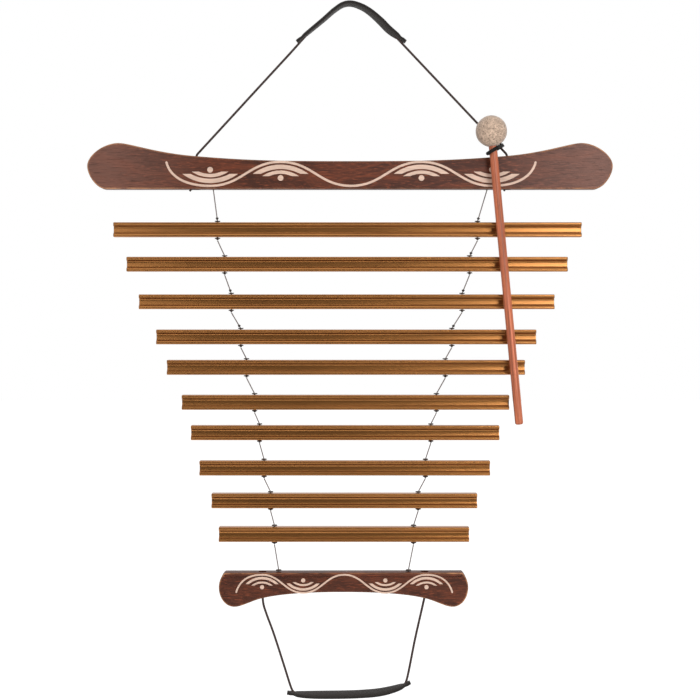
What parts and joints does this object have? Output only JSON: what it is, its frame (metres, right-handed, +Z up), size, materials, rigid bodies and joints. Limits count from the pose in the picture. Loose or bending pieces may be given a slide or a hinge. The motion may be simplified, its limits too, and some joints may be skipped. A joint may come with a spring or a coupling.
{
  "type": "hanging meditation chime",
  "caption": "Hanging ladder of satin metal bars on knotted cords between two curved wooden boards, with padded grips and a ball mallet on a lace.",
  "frame": {"origin": "on the underside of the upper grip's crown, where a hook or a hand carries the chime", "axes": "+Z up, +X to the right seen from the front, -Y towards the front; the cords hang in the plane Y = 0"},
  "size_m": [0.5684, 0.0425, 0.7563],
  "materials": {
    "wood": "dark reddish brown, satin oil",
    "bar_metal": "satin gold-bronze anodised",
    "thick_cord": "dark braided cord",
    "thin_cord": "dark grey braided cord",
    "grip": "charcoal padded sleeve, matt",
    "ball": "beige felt with dark specks",
    "dowel": "reddish dowel, satin",
    "lace": "black flat lace"
  },
  "bodies": {
    "hanger": {"hanger_cord": "thick_cord", "hanger_grip": "grip"},
    "mallet": {"mallet_ball": "ball", "mallet_handle": "dowel", "mallet_lace": "lace"},
    "head_board": {"head_board": "wood", "hanger_knot_left": "thick_cord", "hanger_knot_right": "thick_cord", "ladder_knot_left": "thin_cord", "ladder_knot_right": "thin_cord"},
    "bar_01": {"bar_01": "bar_metal", "ladder_cord_left_01": "thin_cord", "ladder_cord_right_01": "thin_cord"},
    "bar_02": {"bar_02": "bar_metal", "ladder_cord_left_02": "thin_cord", "ladder_cord_right_02": "thin_cord"},
    "bar_03": {"bar_03": "bar_metal", "ladder_cord_left_03": "thin_cord", "ladder_cord_right_03": "thin_cord"},
    "bar_04": {"bar_04": "bar_metal", "ladder_cord_left_04": "thin_cord", "ladder_cord_right_04": "thin_cord"},
    "bar_05": {"bar_05": "bar_metal", "ladder_cord_left_05": "thin_cord", "ladder_cord_right_05": "thin_cord"},
    "bar_06": {"bar_06": "bar_metal", "ladder_cord_left_06": "thin_cord", "ladder_cord_right_06": "thin_cord"},
    "bar_07": {"bar_07": "bar_metal", "ladder_cord_left_07": "thin_cord", "ladder_cord_right_07": "thin_cord"},
    "bar_08": {"bar_08": "bar_metal", "ladder_cord_left_08": "thin_cord", "ladder_cord_right_08": "thin_cord"},
    "bar_09": {"bar_09": "bar_metal", "ladder_cord_left_09": "thin_cord", "ladder_cord_right_09": "thin_cord"},
    "bar_10": {"bar_10": "bar_metal", "ladder_cord_left_10": "thin_cord", "ladder_cord_right_10": "thin_cord"},
    "lower_board": {"lower_board": "wood", "ladder_cord_left_11": "thin_cord", "ladder_cord_right_11": "thin_cord", "handle_knot_left": "thick_cord", "handle_knot_right": "thick_cord"},
    "hand_loop": {"handle_cord": "thick_cord", "handle_grip": "grip"}
  },
  "joints": [
    {"name": "mallet_swing", "type": "hinge", "parent": "hanger", "child": "mallet", "pos_m": [0.16319, 0, -0.15327], "axis": [0, 1, 0], "range_deg": [-35, 25]},
    {"name": "head_board_swing", "type": "hinge", "parent": "hanger", "child": "head_board", "pos_m": [0, 0, -0.16397], "axis": [1, 0, 0], "range_deg": [-1.7, 10]},
    {"name": "bar_01_swing", "type": "hinge", "parent": "head_board", "child": "bar_01", "pos_m": [0, 0, -0.1996], "axis": [1, 0, 0], "range_deg": [-2, 10]},
    {"name": "bar_02_swing", "type": "hinge", "parent": "bar_01", "child": "bar_02", "pos_m": [0, 0, -0.2547], "axis": [1, 0, 0], "range_deg": [-2.8, 10]},
    {"name": "bar_03_swing", "type": "hinge", "parent": "bar_02", "child": "bar_03", "pos_m": [0, 0, -0.2921], "axis": [1, 0, 0], "range_deg": [-3.7, 10]},
    {"name": "bar_04_swing", "type": "hinge", "parent": "bar_03", "child": "bar_04", "pos_m": [0, 0, -0.3328], "axis": [1, 0, 0], "range_deg": [-6, 10]},
    {"name": "bar_05_swing", "type": "hinge", "parent": "bar_04", "child": "bar_05", "pos_m": [0, 0, -0.3709], "axis": [1, 0, 0], "range_deg": [-12, 10]},
    {"name": "bar_06_swing", "type": "hinge", "parent": "bar_05", "child": "bar_06", "pos_m": [0, 0, -0.4039], "axis": [1, 0, 0], "range_deg": [-12, 10]},
    {"name": "bar_07_swing", "type": "hinge", "parent": "bar_06", "child": "bar_07", "pos_m": [0, 0, -0.4418], "axis": [1, 0, 0], "range_deg": [-12, 10]},
    {"name": "bar_08_swing", "type": "hinge", "parent": "bar_07", "child": "bar_08", "pos_m": [0, 0, -0.4747], "axis": [1, 0, 0], "range_deg": [-12, 10]},
    {"name": "bar_09_swing", "type": "hinge", "parent": "bar_08", "child": "bar_09", "pos_m": [0, 0, -0.513], "axis": [1, 0, 0], "range_deg": [-12, 10]},
    {"name": "bar_10_swing", "type": "hinge", "parent": "bar_09", "child": "bar_10", "pos_m": [0, 0, -0.5484], "axis": [1, 0, 0], "range_deg": [-12, 10]},
    {"name": "lower_board_swing", "type": "hinge", "parent": "bar_10", "child": "lower_board", "pos_m": [0, 0, -0.5848], "axis": [1, 0, 0], "range_deg": [-12, 10]},
    {"name": "hand_loop_swing", "type": "hinge", "parent": "lower_board", "child": "hand_loop", "pos_m": [0, 0, -0.64208], "axis": [1, 0, 0], "range_deg": [-12, 10]}
  ]
}
